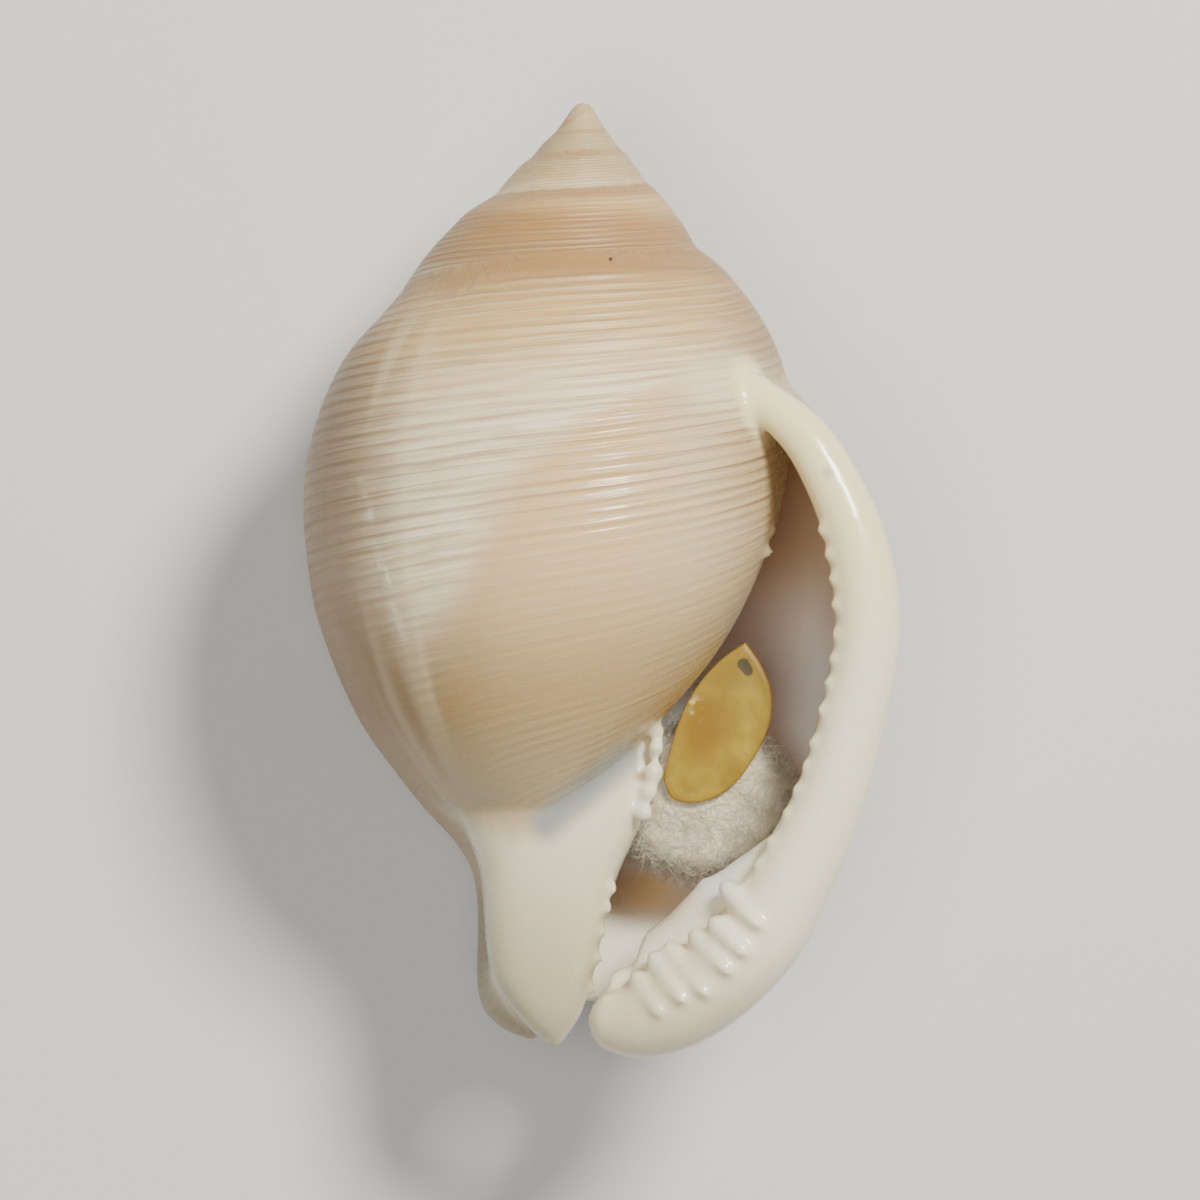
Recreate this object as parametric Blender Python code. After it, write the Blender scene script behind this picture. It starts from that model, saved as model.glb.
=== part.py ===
"""Helmet shell lying on its back, with its operculum on a wad of cotton wool in the aperture.

The shell is drawn with its axis along -Y from the apex, X to the right of the aperture view and
Z towards the viewer. An empty then sets it down on the small flat spot of its back, with the
origin at the middle of its base.
Sizes are in millimetres down to the meshes, which are in metres.
"""
import math

import bmesh
import bpy
import numpy as np
from mathutils import Vector
from mathutils.bvhtree import BVHTree

MM = 0.001

# Growth of the shell: a turn angle of 360 degrees is one whorl, and the lip is just past 360
FIRST_TURN = -1260
LIP_TURN = 386
HALF_TURN_GROWTH = 1.335
SPIRE_SLIMMING = 0.06
TURN_STEP = 7.5
WALL = 1.25
SECTION_ROWS = 46

# Whorl sections as radius from the axis and distance below the apex, from suture to base
SECTION_EARLY = [(7.2, 7.7), (8.1, 8.3), (9.4, 9.7), (10.7, 11.2), (11.8, 12.8), (12.7, 14.4),
                 (13.3, 17.0), (13.4, 20.0), (12.9, 24.0), (11.6, 28.0), (9.6, 32.0), (7.0, 35.4),
                 (4.6, 38.6), (3.6, 43.0)]
SECTION_RIGHT = [(9.3, 10.6), (10.2, 11.2), (12.0, 13.0), (13.8, 15.3), (15.0, 17.5), (15.9, 20.2),
                 (16.2, 23.0), (16.0, 26.5), (15.2, 30.5), (13.8, 34.6), (12.0, 38.3), (9.6, 41.6),
                 (6.9, 44.8), (4.6, 48.2), (3.8, 54.0)]
SECTION_FRONT = [(10.9, 11.8), (12.3, 13.5), (14.3, 16.2), (15.9, 19.2), (16.9, 22.3), (17.4, 25.5),
                 (17.5, 28.5), (17.3, 31.6), (16.8, 34.8), (15.9, 38.0), (14.7, 41.0), (13.0, 44.0),
                 (10.9, 46.8), (8.5, 49.3), (6.4, 51.4), (5.2, 53.8), (4.6, 57.0), (4.2, 61.0),
                 (3.4, 65.0)]
SECTION_LEFT = [(12.6, 14.3), (14.2, 16.3), (16.3, 18.8), (17.8, 21.8), (18.7, 24.7), (19.2, 27.7),
                (19.2, 30.5), (18.8, 34.0), (18.0, 37.9), (16.9, 40.8), (15.6, 43.6), (13.9, 46.5),
                (11.6, 49.3), (8.9, 52.2), (5.6, 55.0), (4.1, 56.9), (3.9, 58.8), (4.3, 61.4),
                (4.8, 63.8), (4.8, 65.4), (4.3, 66.8), (3.0, 67.9), (1.2, 68.6), (0.1, 68.8)]
SECTION_BACK = [(14.0, 16.7), (15.9, 18.7), (18.0, 21.0), (19.7, 23.8), (20.9, 26.8), (21.5, 29.8),
                (21.6, 32.8), (21.3, 36.4), (20.5, 40.6), (19.2, 44.8), (17.4, 48.7), (15.2, 52.4),
                (12.8, 55.7), (10.2, 58.7), (8.2, 60.9), (7.0, 62.9), (6.7, 64.6), (6.9, 66.0)]
SECTION_NEAR_LIP = [(15.4, 19.3), (17.0, 21.1), (18.9, 23.4), (20.6, 26.0), (21.8, 28.8), (22.7, 32.0),
                    (23.1, 35.5), (22.9, 39.5), (22.2, 44.0), (21.0, 48.2), (19.3, 52.2), (17.0, 56.3),
                    (14.2, 60.0), (11.3, 63.2), (8.9, 65.4), (7.6, 66.4)]
# Turn angle of each of those sections, with the lip after them
SECTION_TURNS = (-180, 0, 90, 180, 270, 345, LIP_TURN)

# Outer lip as x, distance below the apex, z and radius of its rounded rim
LIP = [(12.5, 20.5, 9.2, 1.3), (14.8, 22.0, 9.8, 1.55), (17.1, 24.0, 10.4, 1.8),
       (19.1, 27.0, 10.8, 2.0), (20.7, 30.4, 11.0, 2.2), (21.7, 34.0, 11.0, 2.35),
       (22.1, 37.7, 10.9, 2.4), (21.8, 41.3, 10.7, 2.4), (21.2, 44.4, 10.5, 2.4),
       (20.5, 47.8, 10.2, 2.5), (19.5, 51.1, 9.8, 2.65), (18.3, 54.1, 9.4, 2.85),
       (17.0, 56.9, 9.0, 3.0), (15.5, 59.8, 8.5, 3.15), (13.5, 62.2, 8.0, 3.25),
       (11.4, 64.2, 7.3, 3.2), (9.2, 65.7, 6.6, 3.1), (6.8, 66.7, 5.8, 2.75), (4.4, 66.8, 5.1, 2.1)]
LIP_WALL_INSET = 0.8

# Folds across the lip near its front end, each from its inner end to its outer end (x, below apex)
LIP_FOLDS = [((12.9, 56.8), (15.1, 59.2)), ((12.1, 59.3), (14.2, 61.2)), ((10.8, 60.4), (13.0, 62.5)),
             ((9.1, 61.5), (11.4, 64.2)), ((7.9, 62.2), (9.8, 64.8)), ((6.7, 63.6), (8.2, 65.8))]
FOLD_RADIUS = 0.85
FOLD_LIFT = 0.35

# Slope inside the front of the lip: where it begins along the rim, angle down, reach and thickness
APRON_FIRST = 0.58
APRON_SLOPE = 38
APRON_REACH = 3.6
APRON_THICKNESS = 1.5
# Soft mound where the lip starts on the body, as x, below apex, z and radius
LIP_START = (12.9, 21.6, 8.6, 2.3)

DENTICLES = 15
DENTICLE_RADIUS = 0.62
DENTICLE_REACH = 0.86
DENTICLE_FIRST, DENTICLE_LAST = 0.24, 0.70

# Columella and its shield: left edge, right edge, front and back at each distance below the apex
COLUMELLA = [(40.0, -4.5, 5.0, 3.5, -4.0), (44.0, -7.4, 7.2, 5.8, -5.0), (47.0, -8.5, 7.3, 6.4, -5.0),
             (50.0, -7.7, 7.0, 6.5, -4.2), (53.0, -6.6, 6.2, 6.3, -3.4), (56.0, -5.3, 5.0, 5.9, -2.5),
             (59.0, -4.8, 4.2, 5.5, -1.8), (62.0, -4.45, 3.75, 5.1, -1.4), (64.5, -3.8, 3.2, 4.7, -1.0),
             (66.6, -2.3, 2.6, 4.1, -0.6), (68.0, -0.8, 1.8, 3.3, -0.2), (68.9, 0.4, 1.2, 2.4, 0.4)]
COLUMELLA_SQUARENESS = 2.5
# Knobs on the inner lip as x, below apex, z and radius
KNOBS = [(7.4, 45.6, 4.9, 0.55), (7.3, 46.8, 5.0, 0.65), (7.2, 48.6, 4.9, 0.8), (6.9, 50.0, 4.8, 0.75),
         (6.6, 51.6, 4.7, 0.7), (4.5, 57.2, 3.7, 0.5), (4.2, 58.6, 3.5, 0.5), (3.9, 60.4, 3.2, 0.45),
         (3.7, 62.4, 3.0, 0.45), (3.3, 64.6, 2.6, 0.45), (15.0, 30.6, 4.2, 0.5),
         (14.8, 32.3, 4.4, 0.45)]

# Tip of the apex as distance below it and radius
APEX = [(-0.1, 0.15), (0.0, 0.4), (0.3, 0.75), (0.8, 1.05), (1.3, 1.35), (2.0, 1.8), (2.7, 2.2), (3.4, 2.6)]

# Operculum: half-leaf outline (x, below apex), its height and thickness
OPERCULUM = [(13.5, 38.9), (14.6, 40.3), (15.5, 42.3), (15.6, 44.2), (15.2, 45.8), (14.3, 47.6),
             (13.2, 49.2), (11.6, 50.4), (10.0, 50.8), (8.6, 50.5), (8.0, 49.4), (8.3, 47.2),
             (8.9, 44.8), (10.0, 42.4), (11.8, 40.2)]
OPERCULUM_HEIGHT = 1.4
OPERCULUM_THICKNESS = 0.55

# Cotton wool: centre and half sizes (x, below apex, z), its gap to the walls and its top
COTTON_CENTRE = (10.8, 50.6, -4.5)
COTTON_HALF = (7.0, 5.7, 9.5)
COTTON_GAP = 0.75
COTTON_TOP = 0.8

# Merged surface: grid of the merge, smoothing passes and share of the triangles kept
MERGE_GRID = 0.45
SMOOTH_PASSES = 3
KEPT_SHARE = 0.05

# Rest on the back: depth of the flat spot and size of its cutter
SPOT_DEPTH = 0.5
SPOT_CUTTER = 30.0


def curve(knots, values, at):
    """Smooth curve through values given at knots, read at other places."""
    knots, values, at = (np.asarray(item, float) for item in (knots, values, at))
    slopes = np.gradient(values, knots, axis=0)
    low = np.clip(np.searchsorted(knots, at) - 1, 0, len(knots) - 2)
    tail = (1,) * (values.ndim - 1)
    width = (knots[low + 1] - knots[low]).reshape(-1, *tail)
    f = (at - knots[low]).reshape(-1, *tail) / width
    start = (1 + 2 * f) * (1 - f) ** 2 * values[low] + f * (1 - f) ** 2 * width * slopes[low]
    end = f * f * (3 - 2 * f) * values[low + 1] - f * f * (1 - f) * width * slopes[low + 1]
    return start + end


def even_line(points, count):
    """Points spaced evenly along a smooth line through the given points."""
    points = np.asarray(points, float)
    reach = np.concatenate([[0], np.cumsum(np.linalg.norm(np.diff(points, axis=0), axis=1))])
    return curve(reach, points, np.linspace(0, reach[-1], count))


def spot(radius, turn, below):
    """Place from the radius, the turn angle in degrees and the distance below the apex."""
    radius, turn, below = np.broadcast_arrays(radius, turn, below)
    angle = np.radians(turn)
    return np.stack([radius * np.cos(angle), -below, radius * np.sin(angle)], axis=-1)


def whorl_sections():
    """Radius, turn and depth of every row of the whorl wall, for each step of growth."""
    lip = even_line(LIP, SECTION_ROWS)
    lip_radius = np.hypot(lip[:, 0], lip[:, 2]) + LIP_WALL_INSET
    lip_turn = 360 + np.degrees(np.arctan2(lip[:, 2], lip[:, 0]))
    drawn = (SECTION_EARLY, SECTION_RIGHT, SECTION_FRONT, SECTION_LEFT, SECTION_BACK, SECTION_NEAR_LIP)
    known = [even_line(rows, SECTION_ROWS) for rows in drawn]
    known.append(np.stack([lip_radius, lip[:, 1]], axis=-1))
    turns = np.arange(FIRST_TURN, LIP_TURN + TURN_STEP / 2, TURN_STEP)
    grown = curve(SECTION_TURNS, known, np.clip(turns, -180, LIP_TURN))
    early = HALF_TURN_GROWTH ** (np.minimum(turns + 180, 0) / 180)
    grown = grown * early[:, None, None]
    grown[:, :, 0] *= (1 - SPIRE_SLIMMING * np.clip((-180 - turns) / 180, 0, 1))[:, None]
    ease = np.clip((turns - 290) / (LIP_TURN - 290), 0, 1)
    ease = (ease * ease * (3 - 2 * ease))[:, None]
    row_turns = turns[:, None] + ease * (lip_turn - LIP_TURN)[None, :]
    return turns, grown, row_turns, early


def loft(bm, rings):
    """Closed solid through rings of points, all with the same count."""
    rows = [[bm.verts.new(Vector(point) * MM) for point in ring] for ring in rings]
    count = len(rows[0])
    for low, high in zip(rows, rows[1:]):
        for i in range(count):
            j = (i + 1) % count
            bm.faces.new((low[i], low[j], high[j], high[i]))
    bm.faces.new(rows[0])
    bm.faces.new(rows[-1])


def whorls(bm):
    """Wall of the whorls as one spiral band, from near the apex to the lip."""
    turns, grown, row_turns, early = whorl_sections()
    rings = []
    for section, angles, scale in zip(grown, row_turns, early):
        along = np.gradient(section, axis=0)
        along /= np.linalg.norm(along, axis=1)[:, None]
        inward = np.stack([-along[:, 1], along[:, 0]], axis=-1)
        outer = np.vstack([section[:1] - along[:1] * scale, section])
        inner = section + inward * WALL * scale
        inner = inner[inner[:, 0] > 0.05]
        outer_turns = np.concatenate([angles[:1], angles])
        outer_ring = spot(outer[:, 0], outer_turns, outer[:, 1])
        keep = np.linspace(0, len(inner) - 1, SECTION_ROWS)
        inner = curve(np.arange(len(inner)), inner, keep)
        inner_ring = spot(inner[:, 0], angles, inner[:, 1])
        rings.append(np.vstack([outer_ring, inner_ring[::-1]]))
    loft(bm, rings)


def core(bm):
    """Solid middle of the older whorls, just under their wall."""
    turns, grown, _, _ = whorl_sections()
    last_turn = (turns >= -180) & (turns < 180)
    depths = np.linspace(1.6, 50, 60)
    rings = []
    for depth in depths:
        spire = max(0.80 * depth - 1.0, 0.15)
        radius = [max(spire if depth < section[0, 1] + 1.5 else 0.15,
                      np.interp(depth, section[:, 1], section[:, 0] - 0.7,
                                left=0.15, right=section[-1, 0] - 0.7))
                  for section in grown[last_turn]]
        rings.append(spot(radius, turns[last_turn], depth))
    loft(bm, rings)


def apex(bm):
    """Pointed first whorls, rounded at the tip."""
    turns = np.arange(0, 360, 15)
    loft(bm, [spot(radius, turns, below) for below, radius in APEX])


def rim_frame():
    """Lip rim points with two directions across it at each point."""
    line = even_line(LIP, 70)
    centre = np.stack([line[:, 0], -line[:, 1], line[:, 2]], axis=-1)
    along = np.gradient(centre, axis=0)
    along /= np.linalg.norm(along, axis=1)[:, None]
    out = np.cross((0, 0, 1), along)
    out /= np.linalg.norm(out, axis=1)[:, None]
    return centre, line[:, 3], out, np.cross(along, out)


def lip_rim(bm):
    """Thick rounded rim of the outer lip."""
    centre, radius, out, front = rim_frame()
    angles = np.linspace(0, 2 * math.pi, 20, endpoint=False)
    rings = []
    for point, size, x, z in zip(centre, radius, out, front):
        rings.append(point + size * (np.cos(angles)[:, None] * x + np.sin(angles)[:, None] * z))
    first = centre[0] + (rings[0] - centre[0]) * 0.55 + (centre[0] - centre[1]) * 0.8
    last = centre[-1] + (rings[-1] - centre[-1]) * 0.55 + (centre[-1] - centre[-2]) * 0.8
    loft(bm, [first] + rings + [last])


def lip_apron(bm):
    """Slope inside the front end of the lip, from the folds down into the canal."""
    centre, _, out, front = rim_frame()
    first = int(APRON_FIRST * (len(centre) - 1))
    slope = math.radians(APRON_SLOPE)
    angles = np.linspace(0, 2 * math.pi, 20, endpoint=False)
    rings = []
    for i in range(first, len(centre)):
        share = (i - first) / (len(centre) - 1 - first)
        size = min(0.15 + 2 * share, 1.0, 2.6 - 2 * share)
        down = -out[i] * math.cos(slope) - front[i] * math.sin(slope)
        across = front[i] * math.cos(slope) - out[i] * math.sin(slope)
        reach = (1 + np.cos(angles)[:, None]) * down * APRON_REACH * size
        rings.append(centre[i] + reach + np.sin(angles)[:, None] * across * APRON_THICKNESS)
    loft(bm, rings)


def bar(bm, start, end, radius):
    """Rounded bar between two places."""
    start, end = np.array(start, float), np.array(end, float)
    along = (end - start) / np.linalg.norm(end - start)
    side = np.cross(along, (0, 0, 1))
    side /= np.linalg.norm(side)
    up = np.cross(side, along)
    angles = np.linspace(0, 2 * math.pi, 10, endpoint=False)
    circle = np.cos(angles)[:, None] * side + np.sin(angles)[:, None] * up
    rings = []
    for share, size in ((-0.22, 0.35), (-0.08, 0.8), (0.1, 1.0), (0.6, 0.95), (0.95, 0.6), (1.1, 0.2)):
        rings.append(start + (end - start) * share + circle * radius * size)
    loft(bm, rings)


def ball(bm, centre, radius):
    """Small round knob."""
    place = Vector((centre[0], -centre[1], centre[2])) * MM
    made = bmesh.ops.create_icosphere(bm, subdivisions=2, radius=radius * MM)
    bmesh.ops.translate(bm, verts=made["verts"], vec=place)


def on_rim(x, below):
    """Place on the front of the lip rim at x and the distance below the apex."""
    centre, radius, _, _ = rim_frame()
    away = np.hypot(centre[:, 0] - x, centre[:, 1] + below)
    near = int(np.argmin(away))
    rise = math.sqrt(max(radius[near] ** 2 - away[near] ** 2, 0.0))
    return x, -below, centre[near, 2] + rise + FOLD_LIFT


def lip_folds(bm):
    """Oblique folds near the front end of the lip, and small denticles along its inner edge."""
    for inner, outer in LIP_FOLDS:
        bar(bm, on_rim(*inner), on_rim(*outer), FOLD_RADIUS)
    centre, radius, out, front = rim_frame()
    ball(bm, LIP_START[:3], LIP_START[3])
    for share in np.linspace(DENTICLE_FIRST, DENTICLE_LAST, DENTICLES):
        i = int(share * (len(centre) - 1))
        place = centre[i] - out[i] * radius[i] * DENTICLE_REACH + front[i] * radius[i] * 0.3
        ball(bm, (place[0], -place[1], place[2]), DENTICLE_RADIUS)


def columella(bm):
    """Pillar of the axis with the shield on its front."""
    rows = np.array(COLUMELLA)
    depths = np.linspace(rows[0, 0], rows[-1, 0], 36)
    edges = curve(rows[:, 0], rows[:, 1:], depths)
    angles = np.linspace(0, 2 * math.pi, 32, endpoint=False)
    cos, sin = np.cos(angles), np.sin(angles)
    power = 2 / COLUMELLA_SQUARENESS
    wide = np.sign(cos) * np.abs(cos) ** power
    deep = np.sign(sin) * np.abs(sin) ** power
    rings = []
    for depth, (left, right, front, back) in zip(depths, edges):
        x = (left + right) / 2 + wide * (right - left) / 2
        z = (front + back) / 2 + deep * (front - back) / 2
        rings.append(np.stack([x, np.full(len(x), -depth), z], axis=-1))
    loft(bm, rings)
    for x, below, z, radius in KNOBS:
        ball(bm, (x, below, z), radius)


def material(name, colour, roughness):
    made = bpy.data.materials.new(name)
    made.use_nodes = True
    shader = made.node_tree.nodes["Principled BSDF"]
    shader.inputs["Base Color"].default_value = (*colour, 1)
    shader.inputs["Roughness"].default_value = roughness
    shader.inputs["Metallic"].default_value = 0
    return made


def finish_mesh(name, bm, parent, finish):
    """Object from a bmesh, with faces pointing out, its parent and its material."""
    bmesh.ops.recalc_face_normals(bm, faces=bm.faces)
    mesh = bpy.data.meshes.new(name)
    bm.to_mesh(mesh)
    bm.free()
    mesh.shade_smooth()
    made = bpy.data.objects.new(name, mesh)
    made.parent = parent
    mesh.materials.append(finish)
    bpy.context.scene.collection.objects.link(made)
    return made


def make_shell(parent):
    bm = bmesh.new()
    whorls(bm)
    core(bm)
    apex(bm)
    lip_rim(bm)
    lip_apron(bm)
    lip_folds(bm)
    columella(bm)
    shell = finish_mesh("shell", bm, parent, material("shell ivory", (0.78, 0.66, 0.52), 0.3))
    merge = shell.modifiers.new("merge the lofts", "REMESH")
    merge.mode = "VOXEL"
    merge.voxel_size = MERGE_GRID * MM
    ease = shell.modifiers.new("ease the joins", "SMOOTH")
    ease.iterations = SMOOTH_PASSES
    ease.factor = 0.5
    thin = shell.modifiers.new("thin out", "DECIMATE")
    thin.ratio = KEPT_SHARE
    return shell


def make_operculum(parent):
    """Horny half-leaf lid, a little domed, lying on the cotton wool."""
    outline = even_line(OPERCULUM + OPERCULUM[:1], 40)[:-1]
    middle = outline.mean(axis=0)
    rings = []
    for height, share in ((-0.5, 0.3), (-0.5, 0.93), (-0.25, 1.0), (0.25, 1.0), (0.5, 0.93), (0.7, 0.3)):
        flat = middle + (outline - middle) * share
        z = OPERCULUM_HEIGHT + height * OPERCULUM_THICKNESS
        rings.append(np.stack([flat[:, 0], -flat[:, 1], np.full(len(flat), z)], axis=-1))
    bm = bmesh.new()
    loft(bm, rings)
    return finish_mesh("operculum", bm, parent, material("amber horn", (0.62, 0.42, 0.10), 0.35))


def make_cotton(parent, shell):
    """Lumpy wad of cotton wool, pressed against the walls behind the operculum."""
    bpy.context.view_layer.update()
    graph = bpy.context.evaluated_depsgraph_get()
    walls = BVHTree.FromObject(shell, graph)
    centre = Vector((COTTON_CENTRE[0], -COTTON_CENTRE[1], COTTON_CENTRE[2])) * MM
    bm = bmesh.new()
    bmesh.ops.create_icosphere(bm, subdivisions=3, radius=1.0)
    for vert in bm.verts:
        x, y, z = vert.co
        lump = 1 + 0.05 * math.sin(5 * x + 2 * y) * math.sin(4 * z + 3 * y)
        arm = Vector((x * COTTON_HALF[0], y * COTTON_HALF[1], z * COTTON_HALF[2])) * lump * MM
        wall = walls.ray_cast(centre, arm.normalized())[3]
        if wall is not None:
            arm = arm.normalized() * min(arm.length, wall - COTTON_GAP * MM)
        vert.co = centre + arm
        vert.co.z = min(vert.co.z, COTTON_TOP * MM)
    return finish_mesh("cotton_wool", bm, parent, material("cotton", (0.85, 0.83, 0.80), 0.95))


def cut_rest_spot(shell):
    """Small flat spot on the back of the shell, and the middle of the shell's base."""
    bpy.context.view_layer.update()
    placed = shell.evaluated_get(bpy.context.evaluated_depsgraph_get())
    places = np.array([placed.matrix_world @ vert.co for vert in placed.data.vertices])
    lowest = places[places[:, 2].argmin()]
    bm = bmesh.new()
    bmesh.ops.create_cube(bm, size=SPOT_CUTTER * MM)
    mesh = bpy.data.meshes.new("rest spot cutter")
    bm.to_mesh(mesh)
    bm.free()
    cutter = bpy.data.objects.new("rest spot cutter", mesh)
    bpy.context.scene.collection.objects.link(cutter)
    cutter.location = Vector(lowest) + Vector((0, 0, SPOT_DEPTH - SPOT_CUTTER / 2)) * MM
    cutter.hide_render = True
    cutter.display_type = "WIRE"
    cut = shell.modifiers.new("rest spot", "BOOLEAN")
    cut.object = cutter
    middle = (places.min(axis=0) + places.max(axis=0)) / 2
    return cutter, Vector((middle[0], middle[1], lowest[2] + SPOT_DEPTH * MM))


def build():
    for old in list(bpy.data.objects):
        bpy.data.objects.remove(old)
    rest = bpy.data.objects.new("rest pose", None)
    bpy.context.scene.collection.objects.link(rest)
    shell = make_shell(rest)
    make_operculum(rest)
    make_cotton(rest, shell)
    cutter, base = cut_rest_spot(shell)
    rest.location = -base
    cutter.location -= base


build()
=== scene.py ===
"""Looks of the helmet shell, its operculum and its cotton wool, on a plain pale floor.

The shell is drawn as in the solids: its axis runs along -Y from the apex, and Z points out of the
mouth. Places and sizes in the lists are millimetres from the apex, and the meshes are in metres.
"""
import math
import random

import bmesh
import bpy
import numpy as np
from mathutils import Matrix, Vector
from mathutils.kdtree import KDTree


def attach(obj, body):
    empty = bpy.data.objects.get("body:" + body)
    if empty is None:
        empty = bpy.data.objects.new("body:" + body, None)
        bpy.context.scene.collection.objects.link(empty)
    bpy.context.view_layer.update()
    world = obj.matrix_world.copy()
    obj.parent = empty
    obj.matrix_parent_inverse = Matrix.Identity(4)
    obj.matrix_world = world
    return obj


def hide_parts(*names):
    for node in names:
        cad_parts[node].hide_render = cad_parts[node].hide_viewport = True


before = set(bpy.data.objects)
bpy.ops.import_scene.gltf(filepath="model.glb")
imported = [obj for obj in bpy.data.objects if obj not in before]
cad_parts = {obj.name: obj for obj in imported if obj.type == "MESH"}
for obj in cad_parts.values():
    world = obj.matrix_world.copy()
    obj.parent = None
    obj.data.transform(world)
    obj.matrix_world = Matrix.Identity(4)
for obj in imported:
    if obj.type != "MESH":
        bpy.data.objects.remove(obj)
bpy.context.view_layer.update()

MM = 0.001
APEX_PLACE = (-2.608, 34.626, 21.105)

# Growth of the shell: a turn angle of 360 degrees is one whorl, and the lip is just past 360
FIRST_TURN = -1260
LIP_TURN = 386
HALF_TURN_GROWTH = 1.335
SPIRE_SLIMMING = 0.06
WALL = 1.25

# Whorl sections as radius from the axis and distance below the apex, from suture to base
SECTION_EARLY = [(7.2, 7.7), (8.1, 8.3), (9.4, 9.7), (10.7, 11.2), (11.8, 12.8), (12.7, 14.4),
                 (13.3, 17.0), (13.4, 20.0), (12.9, 24.0), (11.6, 28.0), (9.6, 32.0), (7.0, 35.4),
                 (4.6, 38.6), (3.6, 43.0)]
SECTION_RIGHT = [(9.3, 10.6), (10.2, 11.2), (12.0, 13.0), (13.8, 15.3), (15.0, 17.5), (15.9, 20.2),
                 (16.2, 23.0), (16.0, 26.5), (15.2, 30.5), (13.8, 34.6), (12.0, 38.3), (9.6, 41.6),
                 (6.9, 44.8), (4.6, 48.2), (3.8, 54.0)]
SECTION_FRONT = [(10.9, 11.8), (12.3, 13.5), (14.3, 16.2), (15.9, 19.2), (16.9, 22.3), (17.4, 25.5),
                 (17.5, 28.5), (17.3, 31.6), (16.8, 34.8), (15.9, 38.0), (14.7, 41.0), (13.0, 44.0),
                 (10.9, 46.8), (8.5, 49.3), (6.4, 51.4), (5.2, 53.8), (4.6, 57.0), (4.2, 61.0),
                 (3.4, 65.0)]
SECTION_LEFT = [(12.6, 14.3), (14.2, 16.3), (16.3, 18.8), (17.8, 21.8), (18.7, 24.7), (19.2, 27.7),
                (19.2, 30.5), (18.8, 34.0), (18.0, 37.9), (16.9, 40.8), (15.6, 43.6), (13.9, 46.5),
                (11.6, 49.3), (8.9, 52.2), (5.6, 55.0), (4.1, 56.9), (3.9, 58.8), (4.3, 61.4),
                (4.8, 63.8), (4.8, 65.4), (4.3, 66.8), (3.0, 67.9), (1.2, 68.6), (0.1, 68.8)]
SECTION_BACK = [(14.0, 16.7), (15.9, 18.7), (18.0, 21.0), (19.7, 23.8), (20.9, 26.8), (21.5, 29.8),
                (21.6, 32.8), (21.3, 36.4), (20.5, 40.6), (19.2, 44.8), (17.4, 48.7), (15.2, 52.4),
                (12.8, 55.7), (10.2, 58.7), (8.2, 60.9), (7.0, 62.9), (6.7, 64.6), (6.9, 66.0)]
SECTION_NEAR_LIP = [(15.4, 19.3), (17.0, 21.1), (18.9, 23.4), (20.6, 26.0), (21.8, 28.8),
                    (22.7, 32.0), (23.1, 35.5), (22.9, 39.5), (22.2, 44.0), (21.0, 48.2),
                    (19.3, 52.2), (17.0, 56.3), (14.2, 60.0), (11.3, 63.2), (8.9, 65.4),
                    (7.6, 66.4)]
SECTIONS = (SECTION_EARLY, SECTION_RIGHT, SECTION_FRONT, SECTION_LEFT, SECTION_BACK,
            SECTION_NEAR_LIP)
SECTION_TURNS = (-180, 0, 90, 180, 270, 345, LIP_TURN)

# From this turn on the sections lean over until the last one runs along the lip
LIP_LEAN_TURN = 290

# Degrees between the sections and rows from suture to base, for the wall and for growth_at
WALL_STEP, WALL_ROWS = 5, 70
LOOKUP_STEP, LOOKUP_ROWS = 4, 150

# Solid middle of the older whorls: its ends below the apex and its rings, the cone that fills the
# spire, how far it stays below the suture and under the wall, and its least radius
CORE_TOP, CORE_BASE, CORE_RINGS = 1.6, 50, 60
CORE_SLOPE, CORE_START = 0.80, 1.0
CORE_UNDER_SUTURE, CORE_UNDER_WALL, CORE_LEAST = 1.5, 0.7, 0.15

# Outer lip as x, distance below the apex, z and radius of its rounded rim, how far the wall
# reaches into it, its points and corners, and the size and reach of its closed ends
LIP = [(12.5, 20.5, 9.2, 1.3), (14.8, 22.0, 9.8, 1.55), (17.1, 24.0, 10.4, 1.8),
       (19.1, 27.0, 10.8, 2.0), (20.7, 30.4, 11.0, 2.2), (21.7, 34.0, 11.0, 2.35),
       (22.1, 37.7, 10.9, 2.4), (21.8, 41.3, 10.7, 2.4), (21.2, 44.4, 10.5, 2.4),
       (20.5, 47.8, 10.2, 2.5), (19.5, 51.1, 9.8, 2.65), (18.3, 54.1, 9.4, 2.85),
       (17.0, 56.9, 9.0, 3.0), (15.5, 59.8, 8.5, 3.15), (13.5, 62.2, 8.0, 3.25),
       (11.4, 64.2, 7.3, 3.2), (9.2, 65.7, 6.6, 3.1), (6.8, 66.7, 5.8, 2.75), (4.4, 66.8, 5.1, 2.1)]
LIP_WALL_INSET = 0.8
RIM_POINTS, RIM_CORNERS = 120, 32
RIM_END_SIZE, RIM_END_STEPS = 0.55, 2

# Folds across the lip near its front end, each from its inner end to its outer end (x, below
# apex), their radius and how far they stand out of the rim
LIP_FOLDS = [((12.9, 56.8), (15.1, 59.2)), ((12.1, 59.3), (14.2, 61.2)),
             ((10.8, 60.4), (13.0, 62.5)), ((9.1, 61.5), (11.4, 64.2)),
             ((7.9, 62.2), (9.8, 64.8)), ((6.7, 63.6), (8.2, 65.8))]
FOLD_RADIUS = 0.85
FOLD_LIFT = 0.35
FOLD_CORNERS = 14
# Section of a fold as share of its length and share of its radius
FOLD_SECTION = ((-0.22, 0.35), (-0.08, 0.8), (0.1, 1.0), (0.6, 0.95), (0.95, 0.6), (1.1, 0.2))

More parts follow.
